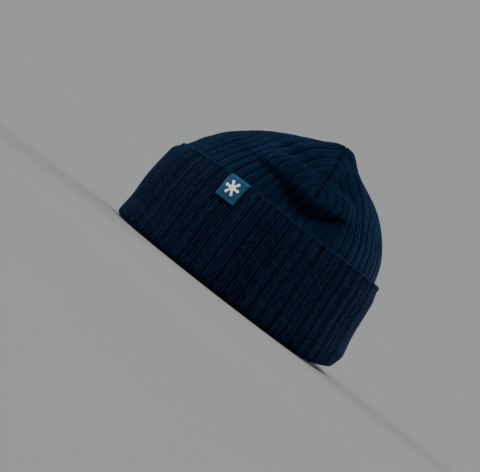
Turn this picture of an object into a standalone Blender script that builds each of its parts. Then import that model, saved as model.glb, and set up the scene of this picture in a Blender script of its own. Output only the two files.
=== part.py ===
"""A knit beanie with a deep turn-up cuff, standing on its rim with the crown up.

Metres, +Z up. The origin is the centre of the opening, level with the rim. The wearer
faces -Y, so the wearer's left side is +X. The hat is one rib-knit tube: the crown with
the inner band that grips the head, closed by four darts, and the cuff, which is the
same tube folded up outside the band.
"""

import math

import bmesh
import bpy
from mathutils import Vector

# Driving dimensions
LENGTH = 0.208  # over the fold at the rim, front to back
WIDTH = 0.171  # over the fold at the rim, side to side
HEIGHT = 0.152  # rim to the tip of the crown
CUFF_HEIGHT = 0.079
CUFF_WALL = 0.0032
BAND_WALL = 0.0025
LAYER_GAP = 0.0016  # between the cuff and the band inside it
TOUCH_GAP = 0.0004  # between pieces that lie on each other

# Oval of the head: how much shorter it is across, and how much fuller at the back
OVAL = (LENGTH - WIDTH) / 2
EGG = 0.04
SEGMENTS = 64

# The cuff's walls sway towards the forehead between the rim and the finished edge
SWAY = 0.0028
SWAY_RISE = (0.012, 0.045)  # heights between which it sets in
SWAY_FADE = (0.070, 0.097)  # heights between which it goes
SET_BACK = 0.0005  # puts the origin at the middle of the whole hat, sway included

# At the nape the rim rides up
RIM_LIFT = 0.0055
LIFT_Y = (0.070, 0.104)
LIFT_Z = (0.010, 0.034)

# Cuff
CUFF_LEAN = 0.0058  # how far each side leans in from the fold to the finished edge
LEAN_CURVE = 1.5
FOLD_BULGE_Z = 0.010
FOLD_FLAT = 0.0028  # width of the flat ring that the hat stands on
FOLD_SIDE_Z = 0.0055  # where the rounded fold runs into the outer face
FOLD_SHOULDER_IN = 0.0013  # the fold's rounding beside the flat ring, outwards and up
FOLD_SHOULDER_Z = 0.0005
FOLD_CORNER_IN = 0.0004
FOLD_CORNER_Z = 0.0026
FOLD_LEG_TOP = 0.0075
FOLD_LEG_FOOT = 0.0035
SLOT_FLOOR_Z = 0.0048  # bottom of the gap between the two layers
SLOT_SIDE_Z = 0.0063
EDGE_CURL = 0.0012
CUFF_HEIGHTS = (0.020, 0.030, 0.044, 0.060, 0.072)  # where the walls have a ring of points

# Crown
DOME_RADIUS = 0.0905
DOME_SLOPE = 0.60  # share of the dome's rise that is a straight cone; the rest is the round shoulder
DOME_POWER = 5
CROWN_LEAN = 0.006  # how far the tip sits behind the middle
TIP_DIMPLE = 0.002
LOBE_RISE = 0.0022  # the four gores bunch up into rounded lobes round the tip
LOBE_RADIUS = 0.0095
LOBE_SPREAD = 0.008
TIP_TILT = 0.0016  # the lobes behind the tip stand higher than those in front
DART_DIP = 0.003
DART_DIP_REACH = 0.030
NAPE_DENT = 0.0032  # the hollow behind the tip
NAPE_DENT_RADIUS = 0.030
NAPE_DENT_SPREAD = 0.016
NAPE_DENT_ANGLE = math.radians(50)

# Dart seams, inside the crown
DARTS = {"left": 0.0, "back": 90.0, "right": 180.0, "front": 270.0}
DART_START = 0.009
DART_END = 0.0752
SEAM_DEPTH = 0.005
SEAM_WIDTH = 0.0024
TACK_RADIUS = 0.0030
TACK_HEIGHT = 0.0040
TACK_Z = 0.1412

# Woven label, on the wearer's front left
LABEL_ANGLE = -30.5
LABEL_WIDTH = 0.0184
LABEL_DROP = 0.0194
LABEL_BEHIND = 0.007
LABEL_WALL = 0.0007
HEM_HEIGHT = 0.0023
THREAD_RADIUS = 0.00028

# Care label, hung inside the band at the back
CARE_WIDTH = 0.025
CARE_LENGTH = 0.042
CARE_WALL = 0.0005
CARE_TOP = 0.070
CARE_Y = 0.0876
CARE_CORNER = 0.002
CARE_THREAD_RADIUS = 0.0005


# --- shape of the hat ---------------------------------------------------------------------


def smooth(x, limits):
    """0 below the lower limit, 1 above the higher one, with a soft step between."""
    low, high = limits
    t = min(1.0, max(0.0, (x - low) / (high - low)))
    return t * t * (3 - 2 * t)


def bell(x, centre, spread):
    return math.exp(-(((x - centre) / spread) ** 2))


def place(theta, half_length, z):
    """The point at angle theta (from +X towards +Y) on the oval of this half-length."""
    fullness = min(1.0, half_length / DOME_RADIUS)
    half_width = half_length - OVAL * fullness**2
    rise = max(0.0, z - CUFF_HEIGHT) / (HEIGHT - CUFF_HEIGHT)
    sway = SWAY * smooth(z, SWAY_RISE) * (1 - smooth(z, SWAY_FADE))
    x = half_width * math.cos(theta) * (1 + EGG * fullness * math.sin(theta))
    y = half_length * math.sin(theta) + CROWN_LEAN * rise - sway + SET_BACK
    lift = RIM_LIFT * smooth(y, LIFT_Y) * (1 - smooth(z, LIFT_Z))
    return Vector((x, y, z + lift))


def dart_dip(theta, radius):
    """How far the crown sinks along a dart and behind the tip, less its rise into a lobe between darts."""
    valley = (1 - abs(math.sin(2 * theta))) ** 2 * bell(radius, 0, DART_DIP_REACH)
    lobe = math.sin(2 * theta) ** 2 * bell(radius, LOBE_RADIUS, LOBE_SPREAD)
    tilt = math.sin(theta) * bell(radius, LOBE_RADIUS, LOBE_SPREAD)
    from_nape = math.acos(max(-1.0, min(1.0, math.sin(theta))))
    dent = bell(from_nape, 0, NAPE_DENT_ANGLE) * bell(radius, NAPE_DENT_RADIUS, NAPE_DENT_SPREAD)
    return DART_DIP * valley - LOBE_RISE * lobe - TIP_TILT * tilt + NAPE_DENT * dent


def cuff_face(z):
    """Half-length of the cuff's outer face at height z."""
    share = max(0.0, z - FOLD_BULGE_Z) / (CUFF_HEIGHT - FOLD_BULGE_Z)
    return LENGTH / 2 - CUFF_LEAN * share**LEAN_CURVE


def band_face(z):
    """Half-length of the inner band's outer face at height z."""
    return cuff_face(z) - CUFF_WALL - LAYER_GAP


def dome_height(share):
    """Height of the crown where its half-length is this share of the dome's radius."""
    drop = DOME_SLOPE * share + (1 - DOME_SLOPE) * share**DOME_POWER
    return CUFF_HEIGHT + (HEIGHT - CUFF_HEIGHT) * (1 - drop)


def arc(centre, radius, start, end, steps):
    """Points (half-length, z) of an arc, with its angles in degrees."""
    angles = [math.radians(start + (end - start) * i / steps) for i in range(steps + 1)]
    return [(centre[0] + radius * math.cos(a), centre[1] + radius * math.sin(a)) for a in angles]


def offset(path, distance):
    """The path moved to its left by a distance."""
    moved = []
    for i, (r, z) in enumerate(path):
        before = path[max(0, i - 1)]
        after = path[min(len(path) - 1, i + 1)]
        along = Vector((after[0] - before[0], after[1] - before[1])).normalized()
        moved.append((r - along.y * distance, z + along.x * distance))
    return moved


# --- building ------------------------------------------------------------------------------


def material(name, colour, roughness, sheen=0.0):
    made = bpy.data.materials.new(name)
    made.use_nodes = True
    shader = made.node_tree.nodes["Principled BSDF"]
    shader.inputs["Base Color"].default_value = (*colour, 1.0)
    shader.inputs["Roughness"].default_value = roughness
    shader.inputs["Metallic"].default_value = 0.0
    shader.inputs["Sheen Weight"].default_value = sheen
    return made


def add_object(name, mesh, mat, parent):
    mesh.materials.append(mat)
    mesh.shade_smooth()
    mesh.set_sharp_from_angle(angle=math.radians(40))
    made = bpy.data.objects.new(name, mesh)
    bpy.context.scene.collection.objects.link(made)
    made.parent = parent
    return made


def loft(name, rings, closed=False):
    """A mesh through rings of equal length; a ring of one point is a tip, a closed loft joins its ends."""
    bm = bmesh.new()
    rows = [[bm.verts.new(point) for point in ring] for ring in rings]
    pairs = list(zip(rows, rows[1:]))
    if closed:
        pairs.append((rows[-1], rows[0]))
    for low, high in pairs:
        count = max(len(low), len(high))
        for i in range(count):
            j = (i + 1) % count
            corners = [low[i % len(low)], low[j % len(low)], high[j % len(high)], high[i % len(high)]]
            bm.faces.new(list(dict.fromkeys(corners)))
    bmesh.ops.recalc_face_normals(bm, faces=bm.faces)
    mesh = bpy.data.meshes.new(name)
    bm.to_mesh(mesh)
    bm.free()
    return mesh


def ring(half_length, z, dips=True):
    """One loop of points round the hat."""
    points = []
    for i in range(SEGMENTS):
        theta = 2 * math.pi * i / SEGMENTS
        dip = dart_dip(theta, half_length) if dips else 0.0
        points.append(place(theta, half_length, z - dip))
    return points


def strip(name, outer, inner):
    """A closed slab between two grids of points, each a list of rows across the strip."""
    rings = [row_out + row_in[::-1] for row_out, row_in in zip(outer, inner)]
    bm = bmesh.new()
    rows = [[bm.verts.new(point) for point in loop] for loop in rings]
    for low, high in zip(rows, rows[1:]):
        for i in range(len(low)):
            j = (i + 1) % len(low)
            bm.faces.new((low[i], low[j], high[j], high[i]))
    bm.faces.new(rows[0][::-1])
    bm.faces.new(rows[-1])
    bmesh.ops.triangulate(bm, faces=[face for face in bm.faces if len(face.verts) > 4])
    bmesh.ops.recalc_face_normals(bm, faces=bm.faces)
    mesh = bpy.data.meshes.new(name)
    bm.to_mesh(mesh)
    bm.free()
    return mesh


def thread(name, points, radius, mat, parent):
    """A thin closed tube along a row of stitches."""
    curve = bpy.data.curves.new(name, "CURVE")
    curve.dimensions = "3D"
    curve.bevel_depth = radius
    curve.bevel_resolution = 2
    curve.use_fill_caps = True
    spline = curve.splines.new("POLY")
    spline.points.add(len(points) - 1)
    for control, point in zip(spline.points, points):
        control.co = (*point, 1.0)
    curve.materials.append(mat)
    made = bpy.data.objects.new(name, curve)
    bpy.context.scene.collection.objects.link(made)
    made.parent = parent
    return made


# --- crown -----------------------------------------------------------------------------------

DOME_SHARES = (0.05, 0.105, 0.17, 0.25, 0.35, 0.45, 0.553, 0.65, 0.74, 0.83, 0.91, 0.965, 1.0)
BAND_HEIGHTS = (*reversed(CUFF_HEIGHTS), FOLD_LEG_TOP + TOUCH_GAP)


def crown_profile():
    """Outer face of the crown and the inner band, from beside the tip down to the fold."""
    dome = [(DOME_RADIUS * share, dome_height(share)) for share in DOME_SHARES]
    band = [(band_face(z), z) for z in BAND_HEIGHTS]
    return dome + band


def crown(mat, parent):
    outside = crown_profile()
    inside = offset(outside, -BAND_WALL)
    inside[-1] = (inside[-1][0], outside[-1][1])
    tip = [place(0, 0, HEIGHT - TIP_DIMPLE)]
    inner_tip = [place(0, 0, HEIGHT - TIP_DIMPLE - BAND_WALL)]
    rings = [tip] + [ring(r, z) for r, z in outside]
    rings += [ring(r, z) for r, z in reversed(inside)] + [inner_tip]
    return add_object("crown", loft("crown", rings), mat, parent)


# --- cuff ------------------------------------------------------------------------------------


def cuff_edge():
    """The rounded, slightly inward-curling finished edge, from the outer face to the inner face."""
    radius = CUFF_WALL / 2
    top = CUFF_HEIGHT - radius
    return arc((cuff_face(top) - radius - EDGE_CURL, top), radius, 0, 180, 5)


def cuff_outer_path():
    """The outer face from above the fold up to the finished edge."""
    return [(cuff_face(z), z) for z in (FOLD_SIDE_Z, FOLD_BULGE_Z, *CUFF_HEIGHTS)]


def cuff(mat, parent):
    """The turned-up layer, with the fold at the rim and the short leg that meets the inner band."""
    outer = cuff_outer_path()
    inner = [(cuff_face(z) - CUFF_WALL, z) for z in (*reversed(CUFF_HEIGHTS), SLOT_SIDE_Z)]
    leg_outer = band_face(FOLD_LEG_TOP)
    leg_inner = leg_outer - BAND_WALL
    slot = [((inner[-1][0] + leg_outer) / 2, SLOT_FLOOR_Z), (leg_outer, SLOT_SIDE_Z)]
    leg = [(leg_outer, FOLD_LEG_TOP), (leg_inner, FOLD_LEG_TOP), (leg_inner, FOLD_LEG_FOOT)]
    middle = (leg_inner + cuff_face(0)) / 2
    flat_in = middle - FOLD_FLAT / 2
    flat_out = middle + FOLD_FLAT / 2
    flat = [(flat_in - FOLD_SHOULDER_IN, FOLD_SHOULDER_Z), (flat_in, 0.0), (flat_out, 0.0)]
    flat += [(flat_out + FOLD_SHOULDER_IN, FOLD_SHOULDER_Z), (cuff_face(0) - FOLD_CORNER_IN, FOLD_CORNER_Z)]
    path = outer + cuff_edge() + inner + slot + leg + flat
    rings = [ring(r, z, dips=False) for r, z in path]
    return add_object("cuff", loft("cuff", rings, closed=True), mat, parent)


# --- dart seams ------------------------------------------------------------------------------


def dart_seam(side, angle, mat, parent):
    """The sewn edge allowance of one dart, a fin that hangs from the inside of the crown."""
    theta = math.radians(angle)
    across = Vector((-math.sin(theta), math.cos(theta), 0)) * SEAM_WIDTH / 2
    profile = crown_profile()
    top = offset(profile, -(BAND_WALL + TOUCH_GAP))
    bottom = offset(profile, -(BAND_WALL + TOUCH_GAP + SEAM_DEPTH))
    used = [i for i, (r, _) in enumerate(profile) if DART_START <= r <= DART_END]
    loops = []
    for i in used:
        dip = Vector((0, 0, dart_dip(theta, profile[i][0])))
        high = place(theta, *top[i]) - dip
        low = place(theta, *bottom[i]) - dip
        loops.append(([high - across, high + across], [low - across, low + across]))
    mesh = strip("dart_seam_" + side, [a for a, _ in loops], [b for _, b in loops])
    return add_object("dart_seam_" + side, mesh, mat, parent)


def crown_tip_tack(mat, parent):
    """The knot of stitches that gathers the four darts under the tip."""
    bm = bmesh.new()
    bmesh.ops.create_uvsphere(bm, u_segments=16, v_segments=8, radius=TACK_RADIUS)
    bmesh.ops.scale(bm, vec=(1, 1, TACK_HEIGHT / 2 / TACK_RADIUS), verts=bm.verts)
    mesh = bpy.data.meshes.new("crown_tip_tack")
    bm.to_mesh(mesh)
    bm.free()
    made = add_object("crown_tip_tack", mesh, mat, parent)
    made.location = place(0, 0, TACK_Z)
    return made


# --- labels ----------------------------------------------------------------------------------


def label_path():
    """The line of the label's back: up the cuff's outer face, over its edge and down behind it."""
    bottom = CUFF_HEIGHT - LABEL_DROP
    face = [(cuff_face(z), z) for z in (bottom, bottom + LABEL_DROP / 3, CUFF_HEIGHTS[-1])]
    behind = [(cuff_face(CUFF_HEIGHT - LABEL_BEHIND) - CUFF_WALL, CUFF_HEIGHT - LABEL_BEHIND)]
    return face + cuff_edge() + behind


def label_angles(width, steps):
    """Angles round the hat that space points evenly across the label."""
    middle = math.radians(LABEL_ANGLE)
    half_length = cuff_face(CUFF_HEIGHT - LABEL_DROP / 2)
    half_width = half_length - OVAL
    speed = math.hypot(half_width * math.sin(middle), half_length * math.cos(middle))
    return [middle + width / speed * (i / steps - 0.5) for i in range(steps + 1)]


def woven_label(mat, parent):
    back = offset(label_path(), -TOUCH_GAP)
    face = offset(label_path(), -(TOUCH_GAP + LABEL_WALL))
    angles = label_angles(LABEL_WIDTH, 6)
    outer = [[place(theta, *point) for theta in angles] for point in face]
    inner = [[place(theta, *point) for theta in angles] for point in back]
    return add_object("woven_label", strip("woven_label", outer, inner), mat, parent)


def label_thread(mat, parent):
    height = CUFF_HEIGHT - LABEL_DROP + HEM_HEIGHT
    radius = cuff_face(height) + TOUCH_GAP * 2 + LABEL_WALL + THREAD_RADIUS
    points = [place(theta, radius, height) for theta in label_angles(LABEL_WIDTH * 0.92, 8)]
    return thread("label_thread", points, THREAD_RADIUS, mat, parent)


def care_label(mat, parent):
    """A plain tape hanging from its sewn top edge, which is the origin and the hinge line."""
    half = CARE_WIDTH / 2
    centre_z = CARE_CORNER - CARE_LENGTH
    outline = [(-half, 0.0)]
    for side, start in ((-1, 180), (1, 270)):
        outline += arc((side * (half - CARE_CORNER), centre_z), CARE_CORNER, start, start + 90, 4)
    outline.append((half, 0.0))
    bm = bmesh.new()
    face = bm.faces.new([bm.verts.new((x, -CARE_WALL / 2, z)) for x, z in outline])
    made = bmesh.ops.extrude_face_region(bm, geom=[face])
    grown = [item for item in made["geom"] if isinstance(item, bmesh.types.BMVert)]
    bmesh.ops.translate(bm, vec=(0, CARE_WALL, 0), verts=grown)
    bmesh.ops.recalc_face_normals(bm, faces=bm.faces)
    mesh = bpy.data.meshes.new("care_label")
    bm.to_mesh(mesh)
    bm.free()
    made = add_object("care_label", mesh, mat, parent)
    made.location = (0, CARE_Y, CARE_TOP)
    return made


def care_label_thread(mat, parent):
    """The row of stitches along the care label's top edge, on the inside of the band."""
    height = CARE_TOP + CARE_THREAD_RADIUS + TOUCH_GAP
    radius = band_face(height) - BAND_WALL - TOUCH_GAP - CARE_THREAD_RADIUS
    reach = math.asin(CARE_WIDTH / 2 / (radius - OVAL))
    angles = [math.pi / 2 + reach * (i / 4 - 1) for i in range(9)]
    points = [place(theta, radius, height) for theta in angles]
    return thread("care_label_thread", points, CARE_THREAD_RADIUS, mat, parent)


# --- assembly --------------------------------------------------------------------------------


def build():
    for old in list(bpy.data.objects):
        bpy.data.objects.remove(old)
    knit_colour = (0.004, 0.016, 0.036)
    hat = bpy.data.objects.new("beanie", None)
    bpy.context.scene.collection.objects.link(hat)
    crown(material("crown_knit", knit_colour, 0.9, 0.4), hat)
    cuff(material("cuff_knit", knit_colour, 0.9, 0.4), hat)
    for side, angle in DARTS.items():
        dart_seam(side, angle, material("seam_thread_" + side, (0.003, 0.012, 0.028), 0.85, 0.2), hat)
    crown_tip_tack(material("tack_thread", (0.003, 0.012, 0.028), 0.8), hat)
    woven_label(material("label_weave", (0.013, 0.076, 0.141), 0.6), hat)
    label_thread(material("label_stitching", (0.010, 0.055, 0.105), 0.6), hat)
    care_label(material("care_label_satin", (0.78, 0.78, 0.76), 0.45), hat)
    care_label_thread(material("care_label_stitching", (0.02, 0.03, 0.05), 0.7), hat)


build()
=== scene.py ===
"""The looks of a rib-knit beanie with a deep turn-up cuff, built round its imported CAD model.

Metres, +Z up, the wearer faces -Y and the wearer's left is +X, as in the CAD model. Every
surface is a grid of points that is shaped first (oval, darts, slouch folds) and then knitted:
each point moves along the surface's normal by the height of the ribs and wales there.
"""

import math

import bmesh
import bpy
import numpy as np
from mathutils import Matrix, Vector


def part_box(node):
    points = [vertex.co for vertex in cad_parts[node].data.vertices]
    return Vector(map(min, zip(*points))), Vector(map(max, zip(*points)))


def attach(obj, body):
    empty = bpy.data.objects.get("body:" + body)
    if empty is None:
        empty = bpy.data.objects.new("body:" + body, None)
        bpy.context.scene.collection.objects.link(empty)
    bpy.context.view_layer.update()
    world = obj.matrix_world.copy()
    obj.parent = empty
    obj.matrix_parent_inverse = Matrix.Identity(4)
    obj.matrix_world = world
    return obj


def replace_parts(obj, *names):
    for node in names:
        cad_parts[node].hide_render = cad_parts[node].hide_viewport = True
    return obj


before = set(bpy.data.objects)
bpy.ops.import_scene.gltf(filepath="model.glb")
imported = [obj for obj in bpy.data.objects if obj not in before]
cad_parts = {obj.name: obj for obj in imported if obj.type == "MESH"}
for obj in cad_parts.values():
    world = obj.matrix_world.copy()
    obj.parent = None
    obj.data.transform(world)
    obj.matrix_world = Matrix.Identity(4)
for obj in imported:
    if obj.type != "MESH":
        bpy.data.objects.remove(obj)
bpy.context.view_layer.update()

# --- sizes ---

CUFF_LOW, CUFF_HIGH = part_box("cuff")
CROWN_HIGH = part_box("crown")[1]
CARE_LOW, CARE_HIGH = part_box("care_label")
WIDTH = CUFF_HIGH.x - CUFF_LOW.x
OVAL = 0.0185  # how much shorter the head's oval is across, each side
LENGTH = WIDTH + 2 * OVAL
EGG = 0.04  # how much fuller the oval is at the back than at the front
CUFF_HEIGHT = CUFF_HIGH.z - CUFF_LOW.z
CUFF_WALL = 0.0032
BAND_WALL = 0.0025
LAYER_GAP = 0.0016  # between the cuff and the band behind it
CUFF_LEAN = 0.0058  # how far in the cuff leans, from its fullest height to its edge
LEAN_CURVE = 1.5  # the power of height that the lean grows by
FOLD_BULGE_Z = 0.01  # the height at which the cuff is fullest
FOLD_LEG_TOP = 0.0075  # where the band ends and the cuff's inner leg begins
EDGE_RADIUS = CUFF_WALL / 2
EDGE_Z = CUFF_HEIGHT - EDGE_RADIUS  # the middle of the cuff's rounded edge
EDGE_CURL = 0.0012  # how far the finished edge curls in
CURL_HEIGHT = 0.012  # and how far below the edge that begins

SWAY = 0.0028  # how far the hat bows forward between its rim and the crown
SWAY_SIDE = 0.65  # share of the sway that the sides do without
SWAY_RISE = (0.012, 0.045)  # heights between which it grows
SWAY_FADE = (0.07, 0.097)  # and between which it is lost again
SET_BACK = 0.0005
RIM_LIFT = 0.0055  # how far the rim rides up at the nape
LIFT_Y = (0.07, 0.104)  # how far back that grows
LIFT_Z = (0.01, 0.034)  # and the heights between which it is lost

DOME_RADIUS = 0.0905
DOME_HEIGHT = CROWN_HIGH.z - CUFF_HEIGHT
DOME_SLOPE = 0.6  # share of the dome's height that it loses evenly from tip to foot
DOME_POWER = 5  # the power of the radius by which it loses the rest
CROWN_LEAN = 0.006  # how far back the tip lies

REPEATS = 60  # rib repeats round the hat
GORE = REPEATS // 8  # whole repeats from the middle of a gore to a dart, half a repeat later
COURSE = 0.0015  # height of a row of stitches

FRONT = -math.pi / 2
NAPE = math.pi / 2
DARTS = {"left": 0.0, "back": 0.5 * math.pi, "right": math.pi, "front": 1.5 * math.pi}
DART_START = 0.0095  # radius at which each dart seam's allowance begins, near the tip
DART_END_SHARE = 0.83  # where each dart seam stops, as a share of the dome's radius
# Repeats left in half a gore at shares of the dome's radius: the darts take up the rest.
OPEN_REPEATS = (
    (0, 0.9), (0.19, 1.5), (0.355, 2.5), (0.513, 3.5), (0.602, 4.5),
    (0.673, 5.5), (0.727, 6.4), (0.768, 7.2), (0.815, GORE + 0.5),
)
CHEVRON = 0.0007  # how far from the seam the ribs turn into it
END_TURN = 0.0004  # and how much farther off they turn round its end
END_TURN_SHARES = (0.68, 0.78)
SEAM_SQUEEZE = 0.2  # how much closer together they are at the seam
SQUEEZE_SHARE = 0.66  # and the share of the radius above which that is so in full

# --- small helpers ---


def smooth(x, start, end):
    """0 before start, 1 after end, with a soft step between."""
    t = np.clip((x - start) / (end - start), 0, 1)
    return t * t * (3 - 2 * t)


def hump(x, start, full, fade, end):
    """1 between full and fade, soft to 0 at start and end."""
    return smooth(x, start, full) * (1 - smooth(x, fade, end))


def bell(x, centre, width, power=2):
    """1 at the centre, and nearly 0 two widths away from it."""
    return np.exp(-np.abs((x - centre) / width) ** power)


def unit(vectors):
    return vectors / np.maximum(np.linalg.norm(vectors, axis=-1, keepdims=True), 1e-12)


def outward(points):
    """Level directions away from the hat's upright axis."""
    return unit(points * np.array([1.0, 1.0, 0.0]))


def angle_from(theta, middle):
    """The angle round the hat from middle to theta, within half a turn either way."""
    return (theta - middle + math.pi) % (2 * math.pi) - math.pi


def smooth_line(points, per_step):
    """A smooth line through points, with the same count of steps between each two."""
    points = np.asarray(points, float)
    before = np.concatenate([points[:1], points[:-2]])
    after = np.concatenate([points[2:], points[-1:]])
    start, end = points[:-1], points[1:]
    slope_in = (end - before) / 2
    slope_out = (after - start) / 2
    t = np.linspace(0, 1, per_step + 1)[:-1][None, :, None]
    a, b = start[:, None], end[:, None]
    m, n = slope_in[:, None], slope_out[:, None]
    line = a * (2 * t**3 - 3 * t**2 + 1) + m * (t**3 - 2 * t**2 + t)
    line = line + b * (3 * t**2 - 2 * t**3) + n * (t**3 - t**2)
    return np.concatenate([line.reshape(-1, points.shape[1]), points[-1:]])


def curve(x, points):
    """Each value of a smooth curve through points (x, value, ...), level beyond its ends."""
    line = smooth_line(points, 16)
    return [np.interp(x, line[:, 0], line[:, k]) for k in range(1, line.shape[1])]


def waves(theta, height, seed, count, amount=1.0):
    """Soft random unevenness over the fabric, a sum of a count of waves, the same each run."""
    dice = np.random.default_rng(seed)
    total = np.zeros(np.broadcast(theta, height).shape)
    for _ in range(count):
        turns = int(dice.integers(1, 9))
        along = dice.uniform(15, 90)
        phase, lag = dice.uniform(0, 2 * math.pi, 2)
        total += np.sin(turns * theta + phase + along * height) * np.cos(0.6 * along * height + lag)
    return amount * total / count


def add_piece(mesh, mat, body="beanie"):
    mesh.materials.append(mat)
    piece = bpy.data.objects.new(mesh.name, mesh)
    bpy.context.scene.collection.objects.link(piece)
    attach(piece, body)
    return piece


def together(*values):
    """Values at the same points as one array, side by side along a last axis."""
    return np.stack(np.broadcast_arrays(*values), axis=-1)


def new_mesh(name, points, faces, layer=None, values=None):
    """A smooth mesh, with the values at its points that a material reads from a layer."""
    mesh = bpy.data.meshes.new(name)
    mesh.from_pydata(points.tolist(), [], faces)
    mesh.update()
    mesh.shade_smooth()
    if layer:
        attribute = mesh.attributes.new(layer, "FLOAT_VECTOR", "POINT")
        attribute.data.foreach_set("vector", values.astype(np.float32).ravel())
    return mesh


def quads_between(lower, upper):
    """Four-sided faces between rows of point numbers that close on themselves."""
    sides = together(lower, np.roll(lower, -1, 1), np.roll(upper, -1, 1), upper)
    return sides.reshape(-1, 4).tolist()


def grid_mesh(name, points, knit=None, close_rows=False, poles=()):
    """A closed mesh through rows of points, each row a ring.

    close_rows joins the last row to the first, and poles are (row, point) that cap a row with a
    fan. knit gives each point its (wale, course, groove), for the knit material: groove is how much
    painted shade the material puts there, a painted highlight where it is below 0.
    """
    rows, columns = points.shape[:2]
    index = np.arange(rows * columns).reshape(rows, columns)
    if close_rows:
        faces = quads_between(index, np.roll(index, -1, 0))
    else:
        faces = quads_between(index[:-1], index[1:])
    for pole, (row, _) in enumerate(poles, rows * columns):
        ends = (index[row], np.roll(index[row], -1))
        faces += together(*(ends if row else ends[::-1]), pole).tolist()
    points = np.concatenate([points.reshape(-1, 3), *([point] for _, point in poles)])
    if knit is None:
        return new_mesh(name, points, faces)
    knit = knit.reshape(-1, 3)
    knit = np.concatenate([knit, knit[-1:].repeat(len(poles), 0)])
    return new_mesh(name, points, faces, "knit", knit)


def grid_normals(points, wrap_rows=False):
    """Outward normals of a grid that goes round the hat anticlockwise, row by row upwards."""
    round_hat = np.roll(points, -1, 1) - np.roll(points, 1, 1)
    if wrap_rows:
        along = np.roll(points, -1, 0) - np.roll(points, 1, 0)
    else:
        along = np.gradient(points, axis=0)
    return unit(np.cross(round_hat, along))


# --- shape of the hat ---


def place(theta, half_length, z):
    """Points at angle theta (from +X towards +Y) on ovals of these half-lengths."""
    fullness = np.minimum(1.0, half_length / DOME_RADIUS)
    half_width = half_length - OVAL * fullness**2
    rise = np.maximum(0.0, z - CUFF_HEIGHT) / DOME_HEIGHT
    sway = SWAY * hump(z, *SWAY_RISE, *SWAY_FADE) * (1 - SWAY_SIDE * np.cos(theta) ** 2)
    x = half_width * np.cos(theta) * (1 + EGG * fullness * np.sin(theta))
    y = half_length * np.sin(theta) + CROWN_LEAN * rise - sway + SET_BACK
    lift = RIM_LIFT * smooth(y, *LIFT_Y) * (1 - smooth(z, *LIFT_Z))
    return together(x, y, z + lift)


def cuff_face(z):
    """Half-length of the cuff's outer face at height z."""
    share = np.maximum(0.0, z - FOLD_BULGE_Z) / (CUFF_HEIGHT - FOLD_BULGE_Z)
    return LENGTH / 2 - CUFF_LEAN * share**LEAN_CURVE


def curled_face(z):
    """The same with the finished edge curled in."""
    return cuff_face(z) - EDGE_CURL * smooth(z, EDGE_Z - CURL_HEIGHT, EDGE_Z)


def band_face(z):
    """Half-length of the inner band's outer face at height z."""
    return cuff_face(z) - CUFF_WALL - LAYER_GAP


def dome_z(share):
    """Height of the plain dome at a share of its radius."""
    drop = DOME_SLOPE * share + (1 - DOME_SLOPE) * share**DOME_POWER
    return CUFF_HEIGHT + DOME_HEIGHT * (1 - drop)


def columns(phases):
    """Angles of the mesh's columns as one row: the same few phases in each rib repeat."""
    repeats = np.arange(REPEATS)[:, None] + np.array(phases)
    return (repeats * 2 * math.pi / REPEATS).reshape(1, -1)


def dart_distance(theta):
    """Angle from the nearest of the four darts."""
    return np.abs((theta + math.pi / 4) % (math.pi / 2) - math.pi / 4)


# --- slouch: the big shapes of the loose crown ---


def in_mm(*rows):
    """A table given in millimetres, in metres."""
    return np.array(rows) / 1000


# The main fold's section where it is a full roll, and where the dart's end holds it down. Each
# point is (height on the plain dome, move outwards, move up).
ROLL = in_mm(
    (79, 0, 0), (82.5, -1.4, 0), (86.2, -3.6, 0.6), (90, -4.6, 1.2), (93, -2.4, 0.9), (95.6, 1.8, 0.6),
    (98, 5, 0.8), (100.7, 6.2, 1.7), (104.5, 6, 3.2), (108.5, 4.9, 4.3), (112.6, 3, 4), (116.1, 0.1, 1),
    (119.1, -3, -1.4), (123, -3.8, -2), (128, -2.4, -0.8), (135, 0, 0),
)
NOSE = in_mm(
    (79, 0, 0), (82.5, -1.4, 0), (86.2, -3.6, 0.2), (90, -4.5, 0.5), (93, -2.6, 0.4), (95.2, 0.8, 0),
    (97, 3.6, 0), (99, 5.1, 0.3), (101.5, 5.6, 0.6), (106.2, 4.4, 1), (110.5, 2.6, 0.8), (115, 1, 0),
    (119.1, -0.4, 0), (123, -0.4, 0), (127, 0, 0), (133, 0, 0),
)
# Along the fold from the dart's end: how much higher the valley below it and its crest are.
VALLEY_RISE = in_mm(
    (-58, 6.2), (-41, 5), (-26.5, 3), (-12, 0.8), (0, 0), (13, 2.2), (22.5, 5), (30, 6.6), (45, 8),
)
CREST_RISE = in_mm(
    (-60, -7.5), (-48, -4.5), (-36, -1.2), (-24, 0.2), (0, 0), (22.5, 0.6), (30, 0), (45, -2),
)
# Where along the fold each part of it is found, as hump takes it: start, full, fade, end.
CREST_SPAN = (-0.066, -0.036, 0.016, 0.042)
VALLEY_SPAN = (-0.036, -0.008, 0.004, 0.038)
ROLL_SPANS = ((-0.06, -0.024, -0.016, -0.003), (0.002, 0.014, 0.022, 0.042))
TUCK_SPAN = (-0.075, -0.025, 0.005, 0.045)
HOLLOW_SPAN = (-0.075, -0.045, -0.02, -0.005)
# The heights between which the fold turns from valley to crest, in reach and in rise, and those
# between which the valley's rise begins.
REACH_TURN = (0.086, 0.114)
RISE_TURN = (0.098, 0.112)
RISE_START = (0.079, 0.09)


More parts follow.
